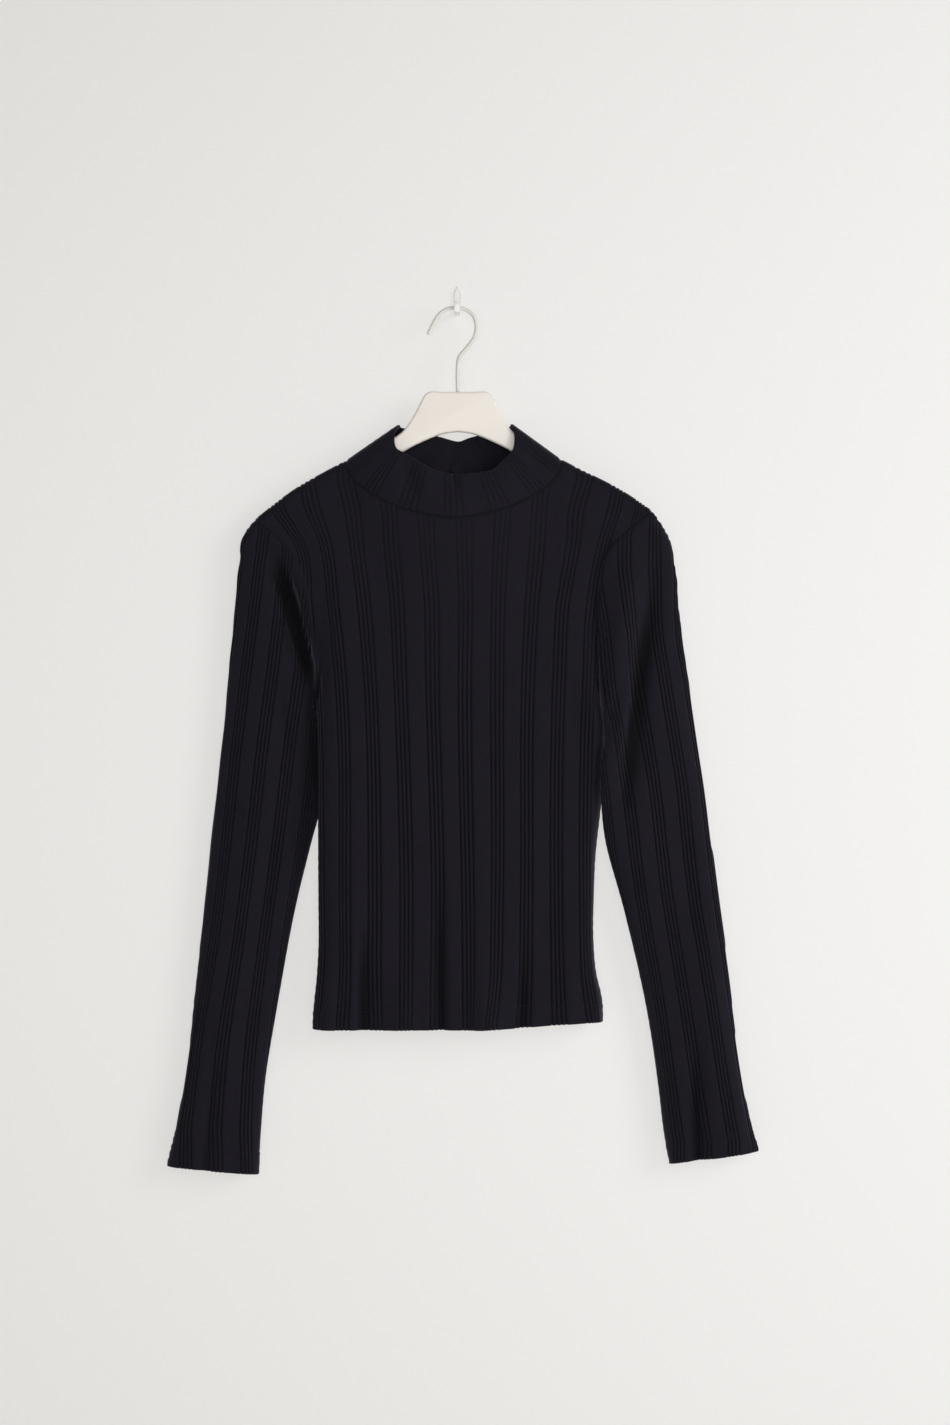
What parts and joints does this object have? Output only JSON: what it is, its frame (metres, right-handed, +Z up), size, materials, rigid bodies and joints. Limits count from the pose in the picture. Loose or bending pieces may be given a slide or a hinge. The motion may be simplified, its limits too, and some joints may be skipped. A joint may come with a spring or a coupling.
{
  "type": "ribbed mock-neck top on a hanger",
  "caption": "Close-fitting ribbed knit top with long sleeves and a soft stand-up collar, hanging on a flat hanger from a small wall hook.",
  "frame": {"origin": "in the flat back of the wall hook, on the wall, at the height of the wire hook's seat", "axes": "+Z up, +Y into the wall, the front of the top faces -Y"},
  "size_m": [0.5488, 0.0472, 0.8268],
  "materials": {
    "knit": "matte rib knit, near black",
    "hanger": "cream, satin",
    "wire": "pale, satin",
    "wall_hook": "white, satin"
  },
  "bodies": {
    "root": {"front": "knit", "back": "knit", "sleeve_left": "knit", "sleeve_right": "knit", "collar": "knit", "hanger": "hanger", "hanger_hook": "wire", "wall_hook": "wall_hook"}
  },
  "joints": []
}
